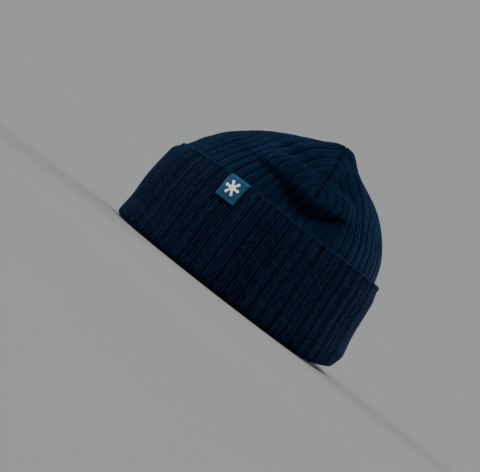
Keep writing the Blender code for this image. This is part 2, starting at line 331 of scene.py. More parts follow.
def droop(z, along, side):
    """Outward and upward moves of the main fold: a roll that hangs over a valley, and its crest.

    along is the distance along the fold from the dart's end. The roll hangs lowest under the dart
    and rises to both ends; its crest sinks between its two halves to the dart's end.
    """
    crest = hump(along, *CREST_SPAN)
    valley = hump(along, *VALLEY_SPAN)
    size = side * (valley + (crest - valley) * smooth(z, *REACH_TURN))
    full = sum(hump(along, *span) for span in ROLL_SPANS)
    upper = smooth(z, *RISE_TURN)
    rise = curve(along, VALLEY_RISE)[0] * (1 - upper) + curve(along, CREST_RISE)[0] * upper
    section = z - rise * smooth(z, *RISE_START)
    roll_out, roll_up = curve(section, ROLL)
    nose_out, nose_up = curve(section, NOSE)
    out = size * (nose_out + full * (roll_out - nose_out))
    up = size * (nose_up + full * (roll_up - nose_up))
    return out, up


MAIN_SIDE_X = (0.01, 0.034)  # across the hat, where the main fold's side begins
DART_FOOT_Y = 0.003  # where the left dart ends, along the hat
TUCK = 0.003  # how far the crown is tucked in behind the cuff's edge, under the main fold
TUCK_HEIGHTS = (0.072, 0.08, 0.081, 0.104)
HOLLOW = 0.0032  # and how far it sinks above the front end of that fold
HOLLOW_Z = 0.1215
HOLLOW_HALF = 0.006
FOREHEAD = 0.0018  # how much fuller the crown is above the forehead
FOREHEAD_REACH = 0.5
FOREHEAD_HEIGHTS = (0.079, 0.09, 0.1, 0.116)
# Soft folds of the other sides: angle round the hat, reach along it, height of the roll, size.
SOFT_FOLDS = (
    (math.pi + 0.22, 0.5, 0.108, 0.7),
    (NAPE + 0.25, 0.3, 0.103, 0.22),
    (FRONT + 0.3, 0.26, 0.104, 0.16),
)
# The section of those: the roll, the valley below and the dip above, as (height above the roll,
# move outwards, half its height).
SOFT_SECTION = ((0, 0.006, 0.0068), (-0.0125, -0.0042, 0.0056), (0.0165, -0.003, 0.008))
SOFT_SAG = 0.0028
SOFT_SAG_HALF = 0.0064


def slouch(points, theta):
    """Moves the crown's points into its soft folds. The deepest is at the end of the left dart."""
    z = points[..., 2]
    side = smooth(points[..., 0], *MAIN_SIDE_X)
    along = points[..., 1] - DART_FOOT_Y
    out, up = droop(z, along, side)
    out -= TUCK * side * hump(along, *TUCK_SPAN) * hump(z, *TUCK_HEIGHTS)
    out -= HOLLOW * side * hump(along, *HOLLOW_SPAN) * bell(z, HOLLOW_Z, HOLLOW_HALF)
    for angle, reach, height, size in SOFT_FOLDS:
        near = size * bell(angle_from(theta, angle), 0, reach, 3)
        for above, move, half in SOFT_SECTION:
            out += near * move * bell(z, height + above, half)
        up -= near * SOFT_SAG * bell(z, height, SOFT_SAG_HALF)
    forehead = bell(angle_from(theta, FRONT), 0, FOREHEAD_REACH)
    out += FOREHEAD * forehead * hump(z, *FOREHEAD_HEIGHTS)
    moved = points + outward(points) * out[..., None]
    moved[..., 2] += up
    return moved


# Round the tip, as (height, radius, half-width): the lobes between the darts and the pillows below
# them, the valleys at the darts, the rise to the tip's rear, and the dent below it at the nape.
LOBE = (0.0018, 0.0095, 0.008)
PILLOW = (0.0014, 0.03, 0.022)
VALLEY = (-0.0012, 0, 0.03)
TIP_TILT = (0.0006, 0.0095, 0.008)
NAPE_DENT = (-0.003, 0.028, 0.014)
DENT_REACH = math.radians(50)
SEAM_SINK = 0.0018  # depth of a seam's narrow line
SEAM_HALF = 0.0013
SEAM_PULL = 0.0013  # and of the soft trough that it lies in
PULL_HALF = 0.0048
SEAM_END_FADE = 0.06  # share of the dome's radius, each way, over which a seam ends
TIP_FADE = (0.003, 0.014)  # radii between which it gains its full depth
STITCH_PITCH = 0.0024


def dart_shape(theta, radius):
    """Height that the crown gains or loses near its darts: sunk seams and lobes round the tip."""
    angle = dart_distance(theta)
    radius = radius[:, None]
    side = angle * radius
    seam_fade = (DART_END_SHARE + SEAM_END_FADE, DART_END_SHARE - SEAM_END_FADE)
    reach = smooth(radius / DOME_RADIUS, *seam_fade) * (0.25 + 0.75 * smooth(radius, *TIP_FADE))
    between = np.sin(2 * angle) ** 2
    at_dart = (1 - np.sin(2 * angle)) ** 2
    at_nape = bell(angle_from(theta, NAPE), 0, DENT_REACH)
    stitches = 0.75 + 0.25 * np.cos(2 * math.pi * radius / STITCH_PITCH)
    seam = SEAM_SINK * stitches * bell(side, 0, SEAM_HALF) + SEAM_PULL * bell(side, 0, PULL_HALF)
    height = -seam * reach
    forms = ((between, LOBE), (np.sin(theta), TIP_TILT), (between, PILLOW),
             (at_dart, VALLEY), (at_nape, NAPE_DENT))
    for share, (move, middle, half) in forms:
        height = height + share * move * bell(radius, middle, half)
    return height


def rib_field(points, theta, share):
    """The rib that each point of the crown is on, and its distance from the nearest dart.

    The rib is 0 at the middle of a gore and grows towards the darts. Below the darts the ribs run
    straight up; above, half a gore holds fewer and fewer of them, and each turns into the seam
    where it is cut off.
    """
    step = np.linalg.norm(np.roll(points, -1, 1) - points, axis=-1)
    run = np.concatenate([np.zeros((len(points), 1)), np.cumsum(step, axis=1)], axis=1)
    quarter = theta.size // 4
    starts = run[:, [quarter * k for k in range(5)]]
    which = np.arange(theta.size) // quarter
    from_start = run[:, :-1] - starts[:, which]
    to_end = starts[:, which + 1] - run[:, :-1]
    side = np.minimum(from_start, to_end)
    half = np.maximum((starts[:, which + 1] - starts[:, which]) / 2, 1e-6)
    turn = CHEVRON + END_TURN * smooth(share, *END_TURN_SHARES)
    turn = turn * smooth(share, DART_END_SHARE + 0.02, DART_END_SHARE - 0.02)
    turn = turn[:, None] + 1e-5
    bent = np.sqrt(side**2 + turn**2) - turn
    bent_half = np.sqrt(half**2 + turn**2) - turn
    held = curve(share, OPEN_REPEATS)[0][:, None]
    squeeze = 1 - SEAM_SQUEEZE * smooth(share, DART_END_SHARE, SQUEEZE_SHARE)[:, None]
    return held * (1 - (bent / bent_half) ** squeeze), side


# --- knitting: the height of ribs and wales ---

FACE_PHASES = (0, 0.035, 0.085, 0.14, 0.23, 0.32, 0.41, 0.5, 0.59, 0.68, 0.77, 0.86, 0.915, 0.965)
BACK_PHASES = (
    0, 0.05, 0.13, 0.2, 0.25, 0.3, 0.38, 0.45, 0.5, 0.55, 0.62, 0.7, 0.75, 0.8, 0.87, 0.95,
)
PANEL = (0.14, 0.86)  # the flat panel of a face repeat; the rest is the groove
FACE_WALES = 4
BACK_WALES = 4
FACE_GROOVE = 0.0014  # depth of a groove
GROOVE_WIDTH = 0.052  # of a repeat
FACE_BOW = 0.00022  # how far a panel bows out in its middle
FACE_WALE = 0.0005  # height of a wale
BACK_RIDGE = 0.00085
BACK_GROOVE = 0.0006
BACK_GROOVE_WIDTH = 0.06  # of a repeat
GAP_WIDTH = 0.2  # of a wale


def from_whole(number):
    """Distance from the nearest whole number: of ribs, from a groove; of wales, from a gap."""
    part = number % 1.0
    return np.minimum(part, 1 - part)


def face_height(ribs):
    """The smooth side of the rib: a flat panel of plain wales between narrow deep grooves."""
    phase = ribs % 1.0
    across = (phase - PANEL[0]) / (PANEL[1] - PANEL[0])
    on_panel = from_whole(ribs) > PANEL[0] - 0.001
    wale = FACE_WALE * np.abs(np.sin(math.pi * FACE_WALES * across)) * on_panel
    return FACE_BOW * np.sin(math.pi * phase) + wale - FACE_GROOVE * face_groove(ribs)


def face_groove(ribs):
    """1 in the middle of a groove of the smooth side, 0 on its panels."""
    return bell(from_whole(ribs), 0, GROOVE_WIDTH)


def back_groove(ribs):
    """The same for the reverse side."""
    return bell(from_whole(ribs), 0, BACK_GROOVE_WIDTH)


def face_wale(ribs):
    """The wale that each point of the smooth side is on, the groove counted as one more."""
    whole = np.floor(ribs)
    last = FACE_WALES + 1
    return whole * last + np.interp(ribs - whole, (0, *PANEL, 1), (0, 0.5, last - 0.5, last))


def back_height(ribs):
    """The reverse side, which shows on the cuff and inside: fine ridges, then a deeper groove.

    No two ridges are quite alike, so each has a height of its own, and some gaps are deeper.
    """
    dice = np.random.default_rng(3)
    heights = dice.uniform(0.6, 1.3, REPEATS * BACK_WALES)
    depths = dice.uniform(0.3, 1.5, REPEATS)
    gaps = dice.uniform(0.0, 1.0, REPEATS * BACK_WALES) ** 3
    wale = ribs * BACK_WALES
    ridge = heights[np.floor(wale).astype(int) % len(heights)]
    ridge = ridge * np.abs(np.sin(math.pi * wale)) ** 0.8
    groove = depths[np.round(ribs).astype(int) % REPEATS] * back_groove(ribs)
    gap = gaps[np.round(wale).astype(int) % len(gaps)] * bell(from_whole(wale), 0, GAP_WIDTH)
    return BACK_RIDGE * ridge - BACK_GROOVE * np.maximum(groove, gap)


# --- crown ---


DOME_FOOT_Z = 0.068  # where the band starts to turn in to the dome
DOME_FOOT_SLOPE = 0.42


def band_rows(step):
    """Heights of the band's rows, from the dome down to the cuff's inner leg."""
    top = CUFF_HEIGHT - 0.0008
    count = int((top - FOLD_LEG_TOP) / step)
    return np.linspace(top, FOLD_LEG_TOP + 0.00005, count)


def with_band(shares, band):
    """Shares of the dome's radius for all the crown's rows: 1 on the band."""
    return np.concatenate([shares, np.ones(len(band))])


def crown_base(shares, band, theta):
    """The crown's smooth outer surface, from the tip down to the fold."""
    radius = shares * DOME_RADIUS
    height = dart_shape(theta, radius)
    dome = place(theta, radius[:, None], dome_z(shares)[:, None] + height)
    blend = smooth(band, DOME_FOOT_Z, CUFF_HEIGHT)
    foot = DOME_RADIUS + (CUFF_HEIGHT - band) * DOME_FOOT_SLOPE
    wall = band_face(band) * (1 - blend) + foot * blend
    return slouch(np.concatenate([dome, place(theta, wall[:, None], band[:, None])]), theta)


def course_count(points):
    """How many courses lie between each point and the first row."""
    step = np.linalg.norm(np.diff(points, axis=0), axis=-1)
    return np.concatenate([np.zeros((1, points.shape[1])), np.cumsum(step, axis=0)]) / COURSE


def crown_rows():
    """Shares of the dome's radius from the tip to the cuff, closest where the folds are."""
    high = np.linspace(0.012, 0.55, 88)
    fold = np.linspace(0.55, 0.93, 92)[1:]
    low = np.linspace(0.93, 1.0, 12)[1:]
    return np.concatenate([high, fold, low])


RIB_WANDER = 0.1  # how far the ribs stray sideways, in repeats
WANDER_START = 0.012  # and how far from a dart that is so in full
UNEVEN = 0.0006  # height of the fabric's soft unevenness
RIBS_FADE = (0.001, 0.01)  # radii round the tip between which the ribs begin
SEAM_SHADE = 1.5  # how much darker than a groove the seams are
SHADE_HALF = 0.0009  # half the width of that shade
INNER_SHARES = np.linspace(0.035, 1.0, 62)  # the rows inside, as shares of the dome's radius
INNER_FADE = (0.05, 0.2)  # the shares between which the ribs begin there
INNER_RELIEF = 0.8  # their height there, as a share of the cuff's


def crown_outside(theta):
    """The crown's outer surface with its ribs, and what each point is on."""
    band = band_rows(0.004)
    shares = with_band(crown_rows(), band)
    points = crown_base(crown_rows(), band, theta)
    z = points[..., 2]
    ribs, side = rib_field(points, theta, shares)
    wander = RIB_WANDER * waves(theta, z, 5, 7) * smooth(side, 0.0, WANDER_START)
    ribs = ribs + 0.5 + wander
    fade = smooth(shares * DOME_RADIUS, *RIBS_FADE)[:, None]
    lift = (face_height(ribs) + waves(theta, z, 11, 9, UNEVEN)) * fade
    on_dart = smooth(shares, DART_END_SHARE + 0.03, DART_END_SHARE - 0.02)[:, None]
    # The knit's third value: painted shade in the grooves, and darker still along the dart seams.
    groove = np.maximum(face_groove(ribs), SEAM_SHADE * bell(side, 0, SHADE_HALF) * on_dart)
    knit = together(face_wale(ribs), course_count(points), groove)
    return points - grid_normals(points) * lift[..., None], knit


def crown_inside(theta):
    """The same for the inner surface, which shows the reverse side, and the outward normals."""
    band = band_rows(0.0034)
    shares = with_band(INNER_SHARES, band)
    base = crown_base(INNER_SHARES, band, theta)
    normals = -grid_normals(base)
    ribs = rib_field(base, theta, shares)[0] + 0.5
    fade = smooth(shares, *INNER_FADE)[:, None]
    depth = BAND_WALL + INNER_RELIEF * back_height(ribs) * fade
    knit = together(ribs * BACK_WALES, course_count(base), back_groove(ribs))
    return base - normals * depth[..., None], knit, normals


def make_crown(mat):
    """The crown and its inner band. Gives its inner tip, and the darts' lines inside it."""
    theta = columns(FACE_PHASES)
    outside, knit_out = crown_outside(theta)
    inside, knit_in, normals = crown_inside(theta)
    tip = outside[0].mean(axis=0) - np.array([0, 0, 0.0006])
    inner_tip = inside[0].mean(axis=0)
    points = np.concatenate([outside, inside[::-1]])[::-1]
    knit = np.concatenate([knit_out, knit_in[::-1]])[::-1]
    poles = ((0, inner_tip), (len(points) - 1, tip))
    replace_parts(add_piece(grid_mesh("crown_knit", points, knit, poles=poles), mat), "crown")
    return inner_tip, dart_lines(theta, inside, normals)


# --- cuff ---


def arc(centre, radius, start, end, steps):
    """Points (half-length, z) of an arc between two angles in degrees."""
    angle = np.radians(np.linspace(start, end, steps + 1))
    return together(centre[0] + radius * np.cos(angle), centre[1] + radius * np.sin(angle))


def face_path(bottom, count):
    """Section of the cuff's outer face from a height up to its edge, as (half-length, z)."""
    z = np.linspace(bottom, EDGE_Z - 0.001, count)
    return together(curled_face(z), z)


def over_path(steps):
    """Section of its rounded edge."""
    return arc((cuff_face(EDGE_Z) - EDGE_RADIUS - EDGE_CURL, EDGE_Z), EDGE_RADIUS, 0, 180, steps)


FACE_BOTTOM = 0.0085
SLOT_TOP = 0.01  # the gap between the cuff and the band ends in a round slot below this
SLOT_Z = 0.0062
FOLD_HALF = 0.0046  # half the height of the fold's round


def cuff_path():
    """The cuff's section, up its face, over its edge, down inside and round the fold.

    Gives how many of its points are on the face, on the edge and, last, on the fold, too.
    """
    rim = cuff_face(0.0)
    leg_outer = band_face(FOLD_LEG_TOP)
    leg_inner = leg_outer - BAND_WALL
    face = face_path(FACE_BOTTOM, 46)
    over = over_path(9)
    back_z = np.linspace(EDGE_Z - 0.003, SLOT_TOP, 9)
    back = together(cuff_face(back_z) - CUFF_WALL, back_z)
    slot_outer = back[-1, 0]
    slot = arc(((slot_outer + leg_outer) / 2, SLOT_Z), (slot_outer - leg_outer) / 2, 0, -180, 5)
    leg = np.array([(leg_outer, FOLD_LEG_TOP), (leg_inner, FOLD_LEG_TOP), (leg_inner, SLOT_Z)])
    angle = np.radians(np.linspace(190, 350, 15))
    across = (leg_inner + rim) / 2 + (rim - leg_inner) / 2 * np.cos(angle)
    fold = together(across, FOLD_HALF + FOLD_HALF * np.sin(angle))
    fold = np.concatenate([fold, [(rim + 0.00005, SLOT_Z)]])
    return np.concatenate([face, over, back, slot, leg, fold]), len(face), len(over), len(fold)


FRONT_REACH = 0.55  # how far round the front of the cuff, and its nape, differ from its sides
NAPE_REACH = 0.5
FRONT_DROP = 0.004  # the finished edge is lower, and curls in, over the forehead
FRONT_CURL = 0.0022
REAR_CURL = 0.5  # how much of that curl there is at the nape
FRONT_FOLD = 0.001  # the fold is fuller at the front
NAPE_ROUND = 0.0036  # and turns under at the nape
WALL_WAVE = 0.0009  # unevenness of the wall
EDGE_WAVE = 0.0012  # and of the edge's height


def cuff_skin(theta, half_length, z):
    """Points of the cuff's surface: its edge waves, and its wall isn't a true oval."""
    front = bell(angle_from(theta, FRONT), 0, FRONT_REACH)
    nape = bell(angle_from(theta, NAPE), 0, NAPE_REACH)
    base = place(theta, half_length, z - FRONT_DROP * front * smooth(z, 0.066, CUFF_HEIGHT))
    around = waves(theta, z, 21, 8, WALL_WAVE) * smooth(z, 0.004, 0.03)
    curl = smooth(z, 0.062, CUFF_HEIGHT + 0.001) ** 2
    around -= FRONT_CURL * (front + REAR_CURL * nape) * curl
    around += FRONT_FOLD * front * smooth(z, 0.024, 0.006)
    around -= NAPE_ROUND * nape * smooth(z, 0.015, 0.0)
    base[..., 2] += waves(theta, 0 * z, 33, 4, EDGE_WAVE) * smooth(z, 0.05, CUFF_HEIGHT)
    return base + outward(base) * around[..., None]


CUFF_SINK = 0.0005  # how far the ridges' feet lie below the smooth surface
FOLD_SWELL = 0.5  # how much higher the ridges stand round the fold
HIDDEN_RELIEF = 0.15  # share of their height where the cuff lies against the band
STAND_OFF = 0.0016  # keeps the ridges round the fold on the floor, not in it
BEAD = 0.0011  # height of the loops along the finished edge
BEAD_SINK = 0.0004
PAINTED_EDGE_HIGHLIGHT = 0.2  # painted highlight: how much lighter the knit is painted along the finished edge


def make_cuff(mat):
    """The turn-up cuff with the rim's fold."""
    theta = columns(BACK_PHASES)
    path, face_count, over_count, fold_count = cuff_path()
    z = path[:, 1:]
    base = cuff_skin(theta, path[:, :1], z)
    normals = grid_normals(base, wrap_rows=True)
    ribs = theta * REPEATS / (2 * math.pi)
    lift = back_height(ribs) * (1 + FOLD_SWELL * bell(z, 0, 0.009)) - CUFF_SINK
    lift -= STAND_OFF * bell(z, 0, 0.0022)
    edge_end = face_count + over_count
    lift[edge_end + 1: -fold_count] *= HIDDEN_RELIEF
    bead = np.abs(np.sin(math.pi * ribs * BACK_WALES)) ** 1.5
    on_edge = np.zeros((len(path), 1))
    on_edge[face_count - 1: edge_end, 0] = np.sin(np.linspace(0, math.pi, over_count + 1))
    lift += on_edge * (bead * BEAD - BEAD_SINK)
    # The knit's third value: painted shade in the grooves, and a painted highlight along the finished
    # edge.
    groove = back_groove(ribs) - PAINTED_EDGE_HIGHLIGHT * on_edge
    knit = together(ribs * BACK_WALES, course_count(base), groove)
    mesh = grid_mesh("cuff_knit", base + normals * lift[..., None], knit, close_rows=True)
    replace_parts(add_piece(mesh, mat), "cuff")


# --- dart seams, inside the crown ---

FIN_DEPTH = 0.005  # how far a dart's allowance stands into the hat
FIN_HALF = 0.0011  # half its thickness
FIN_ROOT = 0.0002  # how far its root stands off the crown's inner surface
FIN_WALE = 0.4  # wales from one column of the fin to the next
OVERLOCK_RADIUS = 0.00026
# One stitch of the overlock thread round the fin's free edge, as (step along, lap to the side,
# depth as a share of the fin's).
OVERLOCK = (
    (0.0, -1, 0.36), (0.28, -0.8, 0.93), (0.36, 0.0, 1.06), (0.44, 0.8, 0.93),
    (0.62, 1, 0.36), (0.8, 0.8, 0.93), (0.88, 0.0, 1.06), (0.96, -0.8, 0.93),
)


def run_along(points):
    """Each point's distance from the first, measured along a line of points."""
    steps = np.linalg.norm(np.diff(points, axis=0), axis=-1)
    return np.concatenate([[0], np.cumsum(steps)])


def tube(name, line, radius, sides=6):
    """A closed tube with rounded ends along a line of points, with no twist along it."""
    line = np.asarray(line, float)
    along = unit(np.gradient(line, axis=0))
    up = np.array([0.0, 0.0, 1.0])
    across = []
    held = unit(np.cross(along[0], up + np.array([0.31, 0.17, 0.0])))
    for direction in along:
        held = unit(held - direction * np.dot(held, direction))
        across.append(held)
    across = np.array(across)
    other = np.cross(along, across)
    turn = np.linspace(0, 2 * math.pi, sides + 1)[None, :-1, None]
    ring = across[:, None] * np.cos(turn) + other[:, None] * np.sin(turn)
    size = np.full(len(line), radius)
    size[[0, -1]] *= 0.72
    points = line[:, None] + ring * size[:, None, None]
    ends = (line[0] - along[0] * radius * 0.5, line[-1] + along[-1] * radius * 0.5)
    return grid_mesh(name, points, poles=((0, ends[0]), (len(line) - 1, ends[1])))


def dart_lines(theta, inside, normals):
    """For each dart, the line where it joins the crown, and the inward directions there."""
    radius = INNER_SHARES * DOME_RADIUS
    rows = np.flatnonzero((radius > DART_START) & (radius < DART_END_SHARE * DOME_RADIUS))
    found = {}
    for side, angle in DARTS.items():
        column = int(np.argmin(np.abs(theta - angle)))
        found[side] = (inside[rows, column], -normals[rows, column])
    return found


def make_fin(side, line, inward, mat, thread_mat):
    """One dart's sewn edge allowance, with the overlock thread wrapped over its free edge."""
    line = smooth_line(line, 3)
    inward = unit(smooth_line(inward, 3))
    along = unit(np.gradient(line, axis=0))
    across = unit(np.cross(along, inward))
    run = run_along(line)
    ends = smooth(run, 0, 0.006) * smooth(run, run[-1], run[-1] - 0.008)
    depth = FIN_DEPTH * (0.35 + 0.65 * ends) * (1 + 0.05 * np.cos(2 * math.pi * run / STITCH_PITCH))
    turn = np.radians([90, 60, 25, -20, -60, -90, -120, -160, 155, 120])
    half = FIN_HALF * (0.8 + 0.2 * ends)
    shift = half[:, None] * np.sign(np.cos(turn)) * np.abs(np.cos(turn)) ** 0.55
    drop = FIN_ROOT + depth[:, None] * (1 - np.sin(turn)) / 2
    points = line[:, None] + across[:, None] * shift[..., None] + inward[:, None] * drop[..., None]
    middle = line + inward * depth[:, None] / 2
    knit = together(np.arange(len(turn)) * FIN_WALE, run[:, None] / COURSE, 0)
    poles = ((0, middle[0]), (len(line) - 1, middle[-1]))
    fin = grid_mesh("dart_seam_" + side, points, knit, poles=poles)
    fin = add_piece(fin, mat)
    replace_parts(fin, "dart_seam_" + side)

    count = int(run[-1] / STITCH_PITCH)
    step, aside, down = np.tile(OVERLOCK, (count, 1)).T
    at = (np.repeat(np.arange(count), len(OVERLOCK)) + step) * run[-1] / count
    aside = aside * (FIN_HALF + OVERLOCK_RADIUS * 0.7)
    root, inner, cross = (
        together(*(np.interp(at, run, part[:, k]) for k in range(3)))
        for part in (line, inward, across)
    )
    reach = FIN_ROOT + np.interp(at, run, depth) * down
    wrap = smooth_line(root + cross * aside[:, None] + inner * reach[:, None], 2)
    add_piece(tube("overlock_" + side, wrap, OVERLOCK_RADIUS), thread_mat)


KNOT_RADIUS = 0.00048
STRAND_RADIUS = 0.0003


def make_tip_tack(inner_tip, lines, mat):
    """The knot that gathers the four darts under the tip, with a strand out to each of them."""
    t = np.linspace(0, 2 * math.pi, 141)[:-1]
    swing = 0.00155 + 0.00075 * np.cos(5 * t)
    knot = together(swing * np.cos(2 * t), swing * np.sin(2 * t), 0.001 * np.sin(5 * t))
    centre = inner_tip - np.array([0, 0, 0.003])
    parts = [tube("tack_knot", centre + np.concatenate([knot, knot[:1]]), KNOT_RADIUS, 8)]
    for side, (line, inward) in lines.items():
        end = line[0] + inward[0] * 0.0016
        bow = (centre + end) / 2 - np.array([0, 0, 0.0006])
        parts.append(tube("tack_strand_" + side, smooth_line([centre, bow, end], 6), STRAND_RADIUS))
    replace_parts(add_joined("crown_tip_tack_knot", parts, mat), "crown_tip_tack")


def add_joined(name, meshes, mat):
    """One piece that holds several closed meshes."""
    bm = bmesh.new()
    for mesh in meshes:
        bm.from_mesh(mesh)
        bpy.data.meshes.remove(mesh)
    joined = bpy.data.meshes.new(name)
    bm.to_mesh(joined)
    bm.free()
    joined.shade_smooth()
    return add_piece(joined, mat)


# --- woven label ---

LABEL_ANGLE = math.radians(-30.5)  # of its middle, round the hat
LABEL_WIDTH = 0.0184
LABEL_DROP = 0.0194  # how far it reaches down in front of the cuff
LABEL_BEHIND = 0.007  # and behind it
LABEL_WALL = 0.00055
LABEL_OFF = 0.00075  # from the cuff's smooth surface to the label's back: it lies on the ridges
LABEL_TIGHT = 0.0005  # how much closer it lies over the cuff's edge
LABEL_TAPER = 0.09  # the hem draws the label's lower end in, at its front edge
LABEL_BOW = 0.00025  # how far its middle bows out
HEM_HEIGHT = 0.0023
HEM_EXTRA = 0.00035  # how much thicker the label is at its hem
HEM_GROOVE = 0.00022  # depth of the line that the stitches press into it
HEM_WAVE = 0.00012  # height of the hem's waves
HEM_WAVES = 900  # radians a metre
CORNER_LIFT = 0.0003  # how far the lower corners stand off
MOTIF_PRESS = 0.00016  # depth of the line round the motif
LABEL_BOTTOM = CUFF_HEIGHT - LABEL_DROP


def label_angles(share, z):
    """Angles round the hat at shares of the label's width, -0.5 to 0.5 from front to rear."""
    share = 0.5 - (0.5 - share) * (1 - LABEL_TAPER * (1 - smooth(z, LABEL_BOTTOM, CUFF_HEIGHT)))
    half_length = cuff_face(CUFF_HEIGHT - LABEL_DROP / 2)
    half_width = half_length - OVAL
    speed = math.hypot(half_width * math.sin(LABEL_ANGLE), half_length * math.cos(LABEL_ANGLE))
    return LABEL_ANGLE + LABEL_WIDTH / speed * share


def slab(name, front, back, weave):
    """A closed thin sheet between two grids of points, with the weave attribute on both faces."""
    rows, count = front.shape[:2]
    points = np.concatenate([front, back[:, ::-1]], axis=1)
    values = np.concatenate([weave, weave[:, ::-1]], axis=1)
    index = np.arange(rows * 2 * count).reshape(rows, 2 * count)
    faces = quads_between(index[:-1], index[1:])
    for row, order in ((index[0].tolist(), -1), (index[-1].tolist(), 1)):
        for i in range(count - 1):
            faces.append([row[i], row[i + 1], row[-2 - i], row[-1 - i]][::order])
    mesh = new_mesh(name, points.reshape(-1, 3), faces, "weave", values)
    mesh.set_sharp_from_angle(angle=math.radians(60))
    return mesh


def open_normals(points):
    """Normals of a small grid that doesn't go round: rows run up, columns run anticlockwise."""
    return unit(np.cross(np.gradient(points, axis=1), np.gradient(points, axis=0)))


def label_bow(share, up):
    """How far the label's middle bows out, from its hem upwards."""
    return LABEL_BOW * (1 - (2 * share) ** 2) * smooth(up, 0.003, 0.01)


def make_label(mat):
    """The woven label, folded over the cuff's edge. Gives the piece and its length when flat."""
    share = np.concatenate([[-0.5, -0.488], np.linspace(-0.46, 0.46, 57), [0.488, 0.5]])[None, :]
    back_z = np.linspace(EDGE_Z - 0.001, CUFF_HEIGHT - LABEL_BEHIND, 7)
    behind = together(cuff_face(back_z) - CUFF_WALL - 0.0003, back_z)
    path = np.concatenate([face_path(LABEL_BOTTOM, 64), over_path(10), behind])
    z = path[:, 1:]
    base = cuff_skin(label_angles(share, z), path[:, :1], z)
    normals = open_normals(base)
    run = run_along(base[:, share.size // 2])[:, None]
    across = share * LABEL_WIDTH
    whole = np.ones((len(run), share.size))
    hem = 1 - smooth(run, HEM_HEIGHT - 0.0004, HEM_HEIGHT + 0.0003)
    groove = bell(run, HEM_HEIGHT, 0.00035) * whole
    pressed = motif_border(across, run)
    corner = (2 * np.abs(share)) ** 4 * smooth(run, 0.006, 0.0)
    lift = LABEL_OFF - LABEL_TIGHT * smooth(z, EDGE_Z - 0.005, EDGE_Z)
    lift = lift + CORNER_LIFT * corner + label_bow(share, run)
    lift = lift + HEM_WAVE * np.sin(across * HEM_WAVES) * smooth(run, 0.004, 0.0)
    from_end = np.minimum(run, run[-1] - run) * whole
    thin_side = np.sqrt(np.clip(np.minimum(1, (0.5 - np.abs(share)) / 0.03) + 0.12, 0, 1))
    thin_end = 0.35 + 0.65 * smooth(from_end, 0, 0.0004)
    thick = LABEL_WALL + HEM_EXTRA * hem - HEM_GROOVE * groove - MOTIF_PRESS * pressed
    thick = thick * thin_side * thin_end
    # Painted light and shade: lighter at the side edges and ends, a painted highlight along the fold
    # over the cuff's edge, and painted shade in the hem's stitch line and the pressed line round the
    # star.
    light = np.maximum(0.5 * smooth(np.abs(share), 0.44, 0.5), smooth(from_end, 0.0006, 0.0))
    light = light - 0.9 * groove - 0.9 * pressed + 0.5 * bell(z, CUFF_HEIGHT, 0.0014)
    front = base + normals * (lift + thick)[..., None]
    back = base + normals * lift[..., None]
    weave = together(across, run, light)
    label = add_piece(slab("woven_label_tape", front, back, weave), mat)
    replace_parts(label, "woven_label")
    return label, float(run[-1, 0])


def on_label(u, v, off):
    """Points above the label: u round from its middle, v up from its bottom edge, off outwards."""
    small = 1e-4

    def skin(du, dv):
        z = LABEL_BOTTOM + v + dv
        return cuff_skin(label_angles((u + du) / LABEL_WIDTH, z), curled_face(z), z)

    normal = unit(np.cross(skin(small, 0) - skin(-small, 0), skin(0, small) - skin(0, -small)))
    height = LABEL_OFF + LABEL_WALL + label_bow(u / LABEL_WIDTH, v) + off
    return skin(0, 0) + normal * height[..., None]


MOTIF_V = 0.0104  # the middle of the motif, up from the label's bottom edge
MOTIF_RADIUS = 0.0064
MOTIF_ARM = 0.0013  # half the width of an arm
MOTIF_HEIGHT = 0.00028
MOTIF_ROOT = 0.0001  # how deep it is set into the label


def motif_outline(angle):
    """The plain six-armed snow star: how far its edge is from its middle in each direction."""
    turned = np.abs((angle + math.pi / 6) % (math.pi / 3) - math.pi / 6)
    sine = np.sin(np.maximum(turned, 1e-6))
    straight = MOTIF_ARM / sine
    centre = MOTIF_RADIUS - MOTIF_ARM
    inside = np.maximum(MOTIF_ARM**2 - (centre * sine) ** 2, 0)
    rounded = centre * np.cos(turned) + np.sqrt(inside)
    valley = MOTIF_ARM / math.sin(math.pi / 6) * 1.05
    return np.maximum(np.where(centre * sine < MOTIF_ARM, rounded, 0), np.minimum(straight, valley))


def motif_border(u, v):
    """1 in the narrow pressed line round the star, 0 away from it."""
    v = v - MOTIF_V
    return bell(np.hypot(u, v) - motif_outline(np.arctan2(v, u)), 0.0004, 0.0005)


def make_motif(mat):
    """A raised white six-armed star woven on the label: a thin closed pad, rounded at its edge."""
    angle = np.linspace(0, 2 * math.pi, 145)[:-1]
    edge = motif_outline(angle)
    shares = np.array([1.0, 1.0, 0.93, 0.8, 0.5, 0.2])[:, None]
    heights = np.array([0, 0.5, 0.86, 1.0, 1.04, 1.06]) * MOTIF_HEIGHT
    heights[0] = -MOTIF_ROOT
    u = shares * edge * np.cos(angle)
    v = MOTIF_V + shares * edge * np.sin(angle)
    points = on_label(u, v, heights[:, None] * np.ones_like(u))
    ends = on_label(np.zeros(2), np.full(2, MOTIF_V), heights[[0, -1]])
    mesh = grid_mesh("label_motif", points, poles=((0, ends[0]), (len(points) - 1, ends[1])))
    return add_piece(mesh, mat)


LABEL_STITCH = 0.00205  # from one stitch of the hem to the next
STITCH_SHARE = 0.76  # how much of that the thread covers
HEM_THREAD = 0.00019  # the thread's radius


def make_label_stitches(mat):
    """The row of small stitches that holds the label's hem."""
    count = int(LABEL_WIDTH * 0.94 / LABEL_STITCH)
    off = 0.00022 * np.sin(np.linspace(0, math.pi, 9)) - 0.00012
    v = np.full(len(off), HEM_HEIGHT + 0.0001)
    parts = []
    for k in range(count):
        start = (k - count / 2 + (1 - STITCH_SHARE) / 2) * LABEL_STITCH
        u = start + np.linspace(0, STITCH_SHARE * LABEL_STITCH, len(off))
        parts.append(tube("stitch", on_label(u, v, off), HEM_THREAD))
    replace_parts(add_joined("label_hem_stitches", parts, mat), "label_thread")


# --- care label ---

